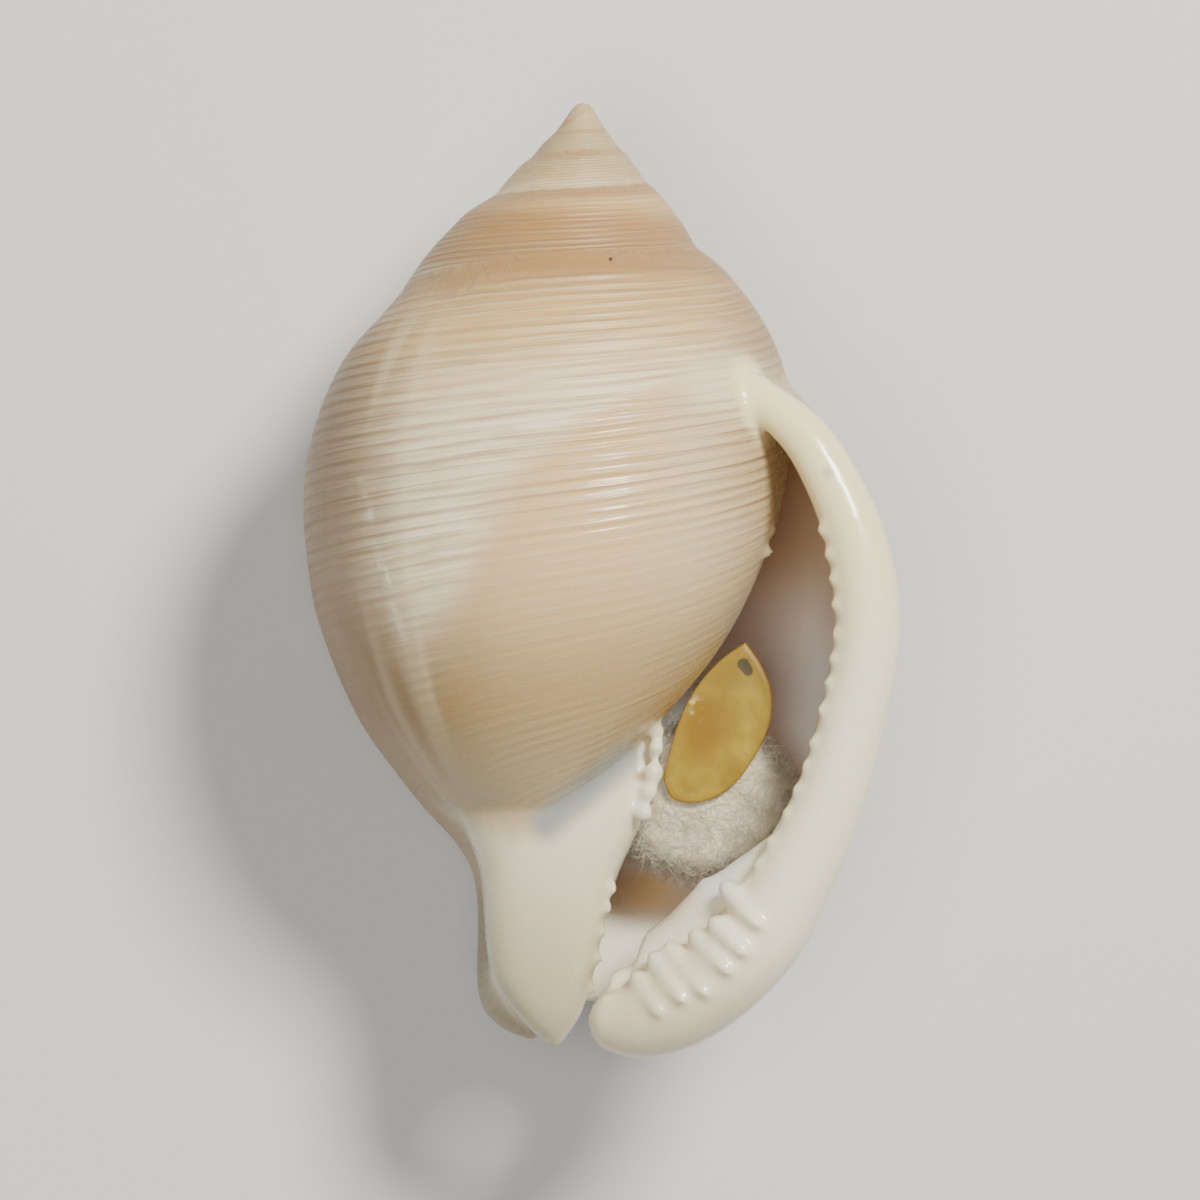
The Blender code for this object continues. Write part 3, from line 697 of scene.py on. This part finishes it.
def shell_material():
    shade = Shade("shell porcelain")
    row, turn, below = map(shade.attribute, ("row", "turn", "below"))
    rim, glaze, inside, shield = map(shade.attribute, ("rim", "glaze", "inside", "shield"))
    callus, worn, beads, lobe_grey_and_shade = map(shade.attribute, ("callus", "worn", "beads", "lobe_grey_and_shade"))
    edge, crease_shade, seam = map(shade.attribute, ("edge", "crease_shade", "seam"))
    open_side = (1 - rim) * (1 - glaze) * (1 - inside) * (1 - shield) * (1 - callus)

    sway = shade.noise(1.0, 2.0, shade.joined(turn * 14, row * 60, 0.0))
    uneven = shade.noise(1.0, 2.0, shade.joined(turn * 5, row * 90, 0.0))
    ridges = (row * RIDGE_WAVE + sway * RIDGE_SWAY).sine() * 0.5 + 0.5
    upper = 1 - row.ramp(0.26, 0.44) * 0.78
    strength = upper * (uneven.ramp(0.30, 0.62) * 0.85 + 0.15)
    strength = strength * (below.ramp(0.10, 0.19) * 0.7 + 0.3)
    strength = strength * row.ramp(0.004, 0.035) * (1 - seam)
    growth = shade.noise(1.0, 3.0, shade.joined(turn * 50, row * 5, 0.0))
    bands = shade.noise(1.0, 1.0, shade.joined(turn * 34, row * 2, 0.0))
    drops = shade.noise(1.0, 1.0, shade.joined(turn * 30, row * 62, 0.0)).ramp(0.42, 0.62)
    grain = shade.noise(900, 4.0)
    streaks = shade.noise(1.0, 3.0, shade.joined(turn * 16, row * 110, 0.0))
    glazed_ridges = glaze * (1 - shield) * (1 - rim) * (1 - inside)
    glazed_ridges = glazed_ridges * (0.85 - below.ramp(0.38, 0.52) * 0.55)
    height = ridges * strength * (open_side + glazed_ridges) * 1.4
    height = height + growth * open_side * 0.3 + grain * 0.06
    height = height + bands * worn * open_side * 1.4 + drops * beads * 0.4
    height = height + streaks * (1 - rim) * (1 - inside) * (1 - shield) * (1 - seam) * 0.4
    shade.bump(height, 0.6, 0.0003)

    patches = shade.noise(70, 4.0)
    body = shade.mix(row.ramp(0.08, 0.24), (0.70, 0.47, 0.20), (0.96, 0.84, 0.58))
    body = shade.mix(row.ramp(0.42, 0.58), body, (0.56, 0.40, 0.20))
    body = shade.mix((1 - below.ramp(0.05, 0.12)) * 0.85, body, (0.44, 0.355, 0.185))
    band = shade.ring(below, 0.105, 0.13, 0.17, 0.19)
    body = shade.mix(band * 0.9, body, (0.33, 0.155, 0.035))
    suture = row.ramp(-0.02, 0.01) * (1 - row.ramp(0.01, 0.05))
    body = shade.mix(suture * 0.75, body, (0.34, 0.18, 0.06))
    body = shade.mix(streaks.ramp(0.42, 0.62) * 0.35, body, (0.50, 0.29, 0.10))
    body = shade.mix(seam * 0.75, body, (0.42, 0.25, 0.09))
    body = shade.mix(patches.ramp(0.5, 0.7) * 0.25, body, (0.80, 0.64, 0.36))
    # Painted highlight on the ridge crests and painted shade in the grooves between them
    body = shade.mix(ridges * strength * open_side * 0.36, body, (0.92, 0.77, 0.46))
    body = shade.mix((1 - ridges) * strength * open_side * 0.36, body, (0.42, 0.25, 0.09))
    # Painted shade with a brown tint on the flanks and the right shoulder, where the light falls
    # off
    body = shade.mix(edge * 0.9, body, (0.25, 0.14, 0.045))
    body = shade.mix(bands.ramp(0.42, 0.62) * worn * 0.6, body, (0.86, 0.72, 0.45))
    # Painted highlights on the raised beads
    body = shade.mix(drops * beads * 0.7, body, (0.95, 0.86, 0.62))
    # Lobe behind the shield: partly its grey-brown colour, partly painted shade, darkened to near
    # black
    body = shade.mix(lobe_grey_and_shade * 0.95, body, (0.075, 0.068, 0.045))
    open_low = (1 - rim) * (1 - inside) * (1 - shield)
    amber = shade.mix(shade.across().ramp(3.0, 10.0), (0.66, 0.395, 0.14), (0.62, 0.46, 0.25))
    amber = shade.mix(streaks.ramp(0.40, 0.62) * 0.6, amber, (0.72, 0.55, 0.32))
    amber = shade.mix(below.ramp(0.46, 0.62) * 0.85, amber, (0.48, 0.335, 0.15))
    colour = shade.mix(glaze * (patches * 0.3 + 0.65), body, amber)
    colour = shade.mix(below.ramp(0.62, 0.72) * open_low * 0.6, colour, (0.50, 0.42, 0.27))
    # More painted shade with a brown tint on the flanks and the right shoulder, outside the mouth
    # and the lip
    colour = shade.mix(edge * (1 - inside) * (1 - rim) * 0.4, colour, (0.36, 0.22, 0.09))
    spire = shade.ring(below, 0.10, 0.115, 0.18, 0.25)
    colour = shade.mix(spire * 0.35, colour, (0.42, 0.235, 0.08))
    colour = shade.mix(callus * 0.7, colour, (0.90, 0.78, 0.50))
    colour = shade.mix(shield, colour, (0.82, 0.75, 0.53))
    colour = shade.mix(shield * below.ramp(0.74, 0.94) * 0.85, colour, (0.49, 0.43, 0.255))
    # Painted shade: bluish grey in the crease between the body and the shield
    colour = shade.mix(crease_shade * 0.9, colour, (0.29, 0.315, 0.30))
    lining = shade.mix(below.ramp(0.44, 0.60), (0.66, 0.50, 0.30), (0.97, 0.94, 0.88))
    lining = shade.mix(below.ramp(0.78, 0.86), lining, (0.93, 0.86, 0.68))
    tan = shade.near(*ORANGE_PATCH, 0.4, 2.9, 1.6)
    lining = shade.mix(tan * 0.8, lining, (0.74, 0.46, 0.18))
    colour = shade.mix(inside, colour, lining)
    ivory = shade.mix(below.ramp(0.40, 0.62), (0.95, 0.84, 0.47), (0.95, 0.88, 0.62))
    ivory = shade.mix(below.ramp(0.84, 0.97) * 0.8, ivory, (0.72, 0.64, 0.42))
    colour = shade.mix(rim, colour, ivory)
    colour = shade.mix(shade.near(*LIP_SPOT, 0.1, 0.75) * 0.55, colour, (0.42, 0.42, 0.36))
    colour = shade.mix(shade.near(*SPECK, 0.08, 0.22) * 0.9, colour, (0.03, 0.02, 0.015))
    colour = shade.mix(shade.near(*PIT, 0.05, 0.7) * 0.7, colour, (0.40, 0.20, 0.08))
    glossy = (glaze + rim + shield + callus).clamped()
    shade.set(Base_Color=colour, Roughness=0.42 - glossy * 0.18 + grain * 0.06)
    shade.set(Coat_Weight=(rim + shield).clamped() * 0.45)
    shade.set(Coat_Roughness=0.1, Subsurface_Weight=0.2, Subsurface_Scale=0.003, IOR=1.5)
    return shade


def make_shell():
    bm = bmesh.new()
    whorls(bm)
    core(bm)
    apex(bm)
    lip_rim(bm)
    lip_apron(bm)
    lip_details(bm)
    columella(bm)
    bmesh.ops.translate(bm, verts=bm.verts, vec=Vector(APEX_PLACE) * MM)
    piece = new_piece("helmet_shell", bm)
    merge = piece.modifiers.new("merge the lofts", "REMESH")
    merge.mode = "VOXEL"
    merge.voxel_size = MERGE_GRID * MM
    ease = piece.modifiers.new("ease the joins", "SMOOTH")
    ease.iterations = SMOOTH_PASSES
    ease.factor = SMOOTH_STRENGTH
    apply_modifiers(piece)
    thin = piece.modifiers.new("thin out", "DECIMATE")
    thin.ratio = min(1.0, MOST_TRIANGLES / (2 * len(piece.data.polygons)))
    apply_modifiers(piece)
    for vert in piece.data.vertices:
        vert.co.z = max(vert.co.z, 0.0)
    piece.data.shade_smooth()
    surface_masks(piece)
    finish_piece(piece, shell_material(), "shell")


def operculum_material():
    shade = Shade("amber horn")
    cloud = shade.noise(260, 3.0)
    streaks = shade.noise(900, 3.0)
    amber = shade.mix(cloud.ramp(0.35, 0.7), (0.235, 0.145, 0.008), (0.40, 0.28, 0.024))
    amber = shade.mix(shade.near(10.6, 45.5, 0.5, 3.4) * 0.85, amber, (0.22, 0.115, 0.004))
    flakes = shade.near(9.7, 44.0, 0.0, 1.6) * streaks.ramp(0.5, 0.65)
    amber = shade.mix(flakes, amber, (0.72, 0.58, 0.26))
    edge = shade.attribute("edge")
    amber = shade.mix(edge * 0.5, amber, (0.30, 0.17, 0.03))
    spot = shade.near(*OPERCULUM_SPOT, 0.1, 0.75)
    smear = shade.near(OPERCULUM_SPOT[0] + 0.35, OPERCULUM_SPOT[1] + 0.5, 0.1, 0.65)
    mark = (spot + smear + streaks * 0.9 - 0.55).ramp(0.15, 0.6)
    amber = shade.mix(mark * 0.85, amber, (0.02, 0.02, 0.012))
    shade.bump(cloud * 0.6 + streaks * 0.4, 0.3, 0.0002)
    shade.set(Base_Color=amber, Roughness=streaks * 0.15 + 0.36)
    shade.set(Coat_Weight=0.1, Coat_Roughness=0.2, Subsurface_Weight=0.1, Subsurface_Scale=0.001)
    return shade


def make_operculum():
    """Horny half-leaf lid, a little domed, with a rounded edge."""
    outline = even_line(OPERCULUM + OPERCULUM[:1], OPERCULUM_CORNERS + 1)[:-1]
    middle = outline.mean(axis=0)
    rings = []
    for height, share in OPERCULUM_SECTION:
        flat = middle + (outline - middle) * share
        z = OPERCULUM_HEIGHT + height * OPERCULUM_THICKNESS
        rings.append(np.stack([flat[:, 0], -flat[:, 1], np.full(len(flat), z)], axis=-1))
    bm = bmesh.new()
    loft(bm, rings)
    bmesh.ops.translate(bm, verts=bm.verts, vec=Vector(APEX_PLACE) * MM)
    piece = new_piece("operculum_leaf", bm)
    piece.data.shade_smooth()
    places = vertices_of(piece) / MM - APEX_PLACE
    flat = np.stack([places[:, 0], -places[:, 1]], axis=-1)
    to_edge = np.min(np.linalg.norm(flat[:, None, :] - outline[None], axis=2), axis=1)
    write_attribute(piece, "edge", 1 - smooth_step(to_edge, 0.05, 0.5))
    finish_piece(piece, operculum_material(), "operculum")


def cotton_material():
    shade = Shade("cotton wool fibre")
    cloud = shade.noise(700, 3.0)
    colour = shade.mix(cloud.ramp(0.3, 0.7), (0.62, 0.52, 0.35), (0.80, 0.71, 0.52))
    under = shade.down().ramp(54.2, 56.4)
    colour = shade.mix(under * 0.6, colour, (0.34, 0.24, 0.13))
    shade.bump(shade.noise(4000, 4.0), 0.6, 0.0002)
    shade.set(Base_Color=colour, Roughness=0.95, Sheen_Weight=0.4, Sheen_Roughness=0.6)
    shade.set(Subsurface_Weight=0.3, Subsurface_Scale=0.001)
    return shade


def in_outline(x, below, outline):
    """True where a place lies within a closed outline."""
    after = np.roll(outline, -1, axis=0)
    across = (outline[:, 1] > below) != (after[:, 1] > below)
    slope = (after[:, 0] - outline[:, 0]) / (after[:, 1] - outline[:, 1] + 1e-9)
    return np.count_nonzero(across & (x < outline[:, 0] + (below - outline[:, 1]) * slope)) % 2 == 1


def fibre_line(rng, start, normal, leaf):
    """Curling line of points, each with its side direction, or None if it crosses the leaf."""
    loose = Vector((rng.uniform(-1, 1), rng.uniform(-1, 1), rng.uniform(-1, 1)))
    heading = normal.cross(loose).normalized()
    curl = rng.uniform(-0.5, 0.5)
    lift = rng.uniform(0.0, 1.0)
    place = start.copy()
    line = []
    for step in range(FIBRE_STEPS):
        natural = place / MM - Vector(APEX_PLACE)
        if in_outline(natural.x, -natural.y, leaf):
            return None
        side = heading.cross(normal).normalized()
        line.append((place.copy(), side))
        wave = math.sin(4 * step / FIBRE_STEPS + curl)
        heading = (heading + side * curl * 0.5 + normal * lift * 0.2 * wave).normalized()
        curl += rng.uniform(-0.35, 0.35)
        place += heading * FIBRE_STEP * MM * rng.uniform(0.6, 1.0)
        place.z = min(place.z, (FIBRE_TOP + APEX_PLACE[2]) * MM)
    return line


def add_fibre(fluff, line, normal):
    """Thin tapering thread along a line."""
    rings = []
    turn = [2 * math.pi * corner / FIBRE_SIDES for corner in range(FIBRE_SIDES)]
    for index, (place, side) in enumerate(line):
        radius = FIBRE_RADIUS * (1 - FIBRE_THINNING * index / FIBRE_STEPS) * MM
        ring = [place + radius * (side * math.cos(angle) + normal * math.sin(angle))
                for angle in turn]
        rings.append([fluff.verts.new(point) for point in ring])
    for low, high in zip(rings, rings[1:]):
        for i in range(FIBRE_SIDES):
            j = (i + 1) % FIBRE_SIDES
            fluff.faces.new((low[i], low[j], high[j], high[i]))


def make_cotton():
    """Wad of cotton wool with loose curling fibres over its visible side."""
    bm = bmesh.new()
    bm.from_mesh(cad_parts["cotton_wool"].data)
    bmesh.ops.remove_doubles(bm, verts=bm.verts, dist=WELD_DISTANCE)
    wad = new_piece("cotton_wad", bm)
    finer = wad.modifiers.new("finer", "SUBSURF")
    finer.levels = finer.render_levels = 1
    apply_modifiers(wad)
    rng = random.Random(FIBRE_SEED)
    mesh = wad.data
    mesh.calc_loop_triangles()
    upper = [tri for tri in mesh.loop_triangles
             if tri.normal.z > -0.1 and tri.center.z > FIBRE_ROOTS_ABOVE]
    leaf = even_line(OPERCULUM + OPERCULUM[:1], LEAF_CORNERS + 1)[:-1]
    leaf = leaf.mean(axis=0) + (leaf - leaf.mean(axis=0)) * LEAF_SHARE_KEPT_CLEAR
    fluff = bmesh.new()
    fluff.from_mesh(mesh)
    for tri in rng.choices(upper, [tri.area for tri in upper], k=FIBRES):
        normal = Vector(tri.normal)
        line = fibre_line(rng, Vector(tri.center), normal, leaf)
        if line is not None:
            add_fibre(fluff, line, normal)
    fluff.to_mesh(mesh)
    fluff.free()
    mesh.shade_smooth()
    finish_piece(wad, cotton_material(), "cotton_wool")


def make_floor():
    shade = Shade("pale card floor")
    shade.set(Base_Color=(0.72, 0.72, 0.70), Roughness=0.8)
    bpy.ops.mesh.primitive_plane_add(size=FLOOR_SIZE, location=(0, 0, -FLOOR_DROP))
    floor = bpy.context.active_object
    floor.name = "pale_floor"
    floor.data.materials.append(shade.material)


def make_light(name, place, size, power, colour, in_reflections=True):
    light = bpy.data.lights.new(name, "AREA")
    light.shape = "DISK"
    light.size = size
    light.energy = power
    light.color = colour
    lamp = bpy.data.objects.new(name, light)
    lamp.location = place
    lamp.visible_glossy = in_reflections
    lamp.rotation_euler = (-Vector(place)).to_track_quat("-Z", "Y").to_euler()
    bpy.context.scene.collection.objects.link(lamp)


def make_lights():
    make_light("soft window", (0.20, 0.26, 0.48), 0.15, 5.2, (1.0, 0.97, 0.92))
    make_light("fill", (-0.07, -0.05, 0.56), 0.24, 1.6, (1.0, 0.98, 0.95), False)
    world = bpy.data.worlds.new("soft room")
    world.use_nodes = True
    room = world.node_tree.nodes["Background"]
    room.inputs["Color"].default_value = (0.9, 0.95, 1.0, 1)
    room.inputs["Strength"].default_value = 0.13
    bpy.context.scene.world = world


def make_camera():
    camera = bpy.data.cameras.new("photo view")
    camera.sensor_width = SENSOR_WIDTH
    camera.lens = SENSOR_WIDTH * CAMERA_DISTANCE / (IMAGE_SIZE * PIXEL)
    camera.clip_start = 0.01
    holder = bpy.data.objects.new("photo view", camera)
    holder.location = Vector(VIEW_CENTRE) * MM + Vector((0, 0, CAMERA_DISTANCE * MM))
    holder.rotation_euler = (0, 0, VIEW_ROLL)
    bpy.context.scene.collection.objects.link(holder)
    bpy.context.scene.camera = holder


bpy.ops.object.select_all(action="DESELECT")
make_camera()
make_shell()
make_operculum()
make_cotton()
make_floor()
make_lights()
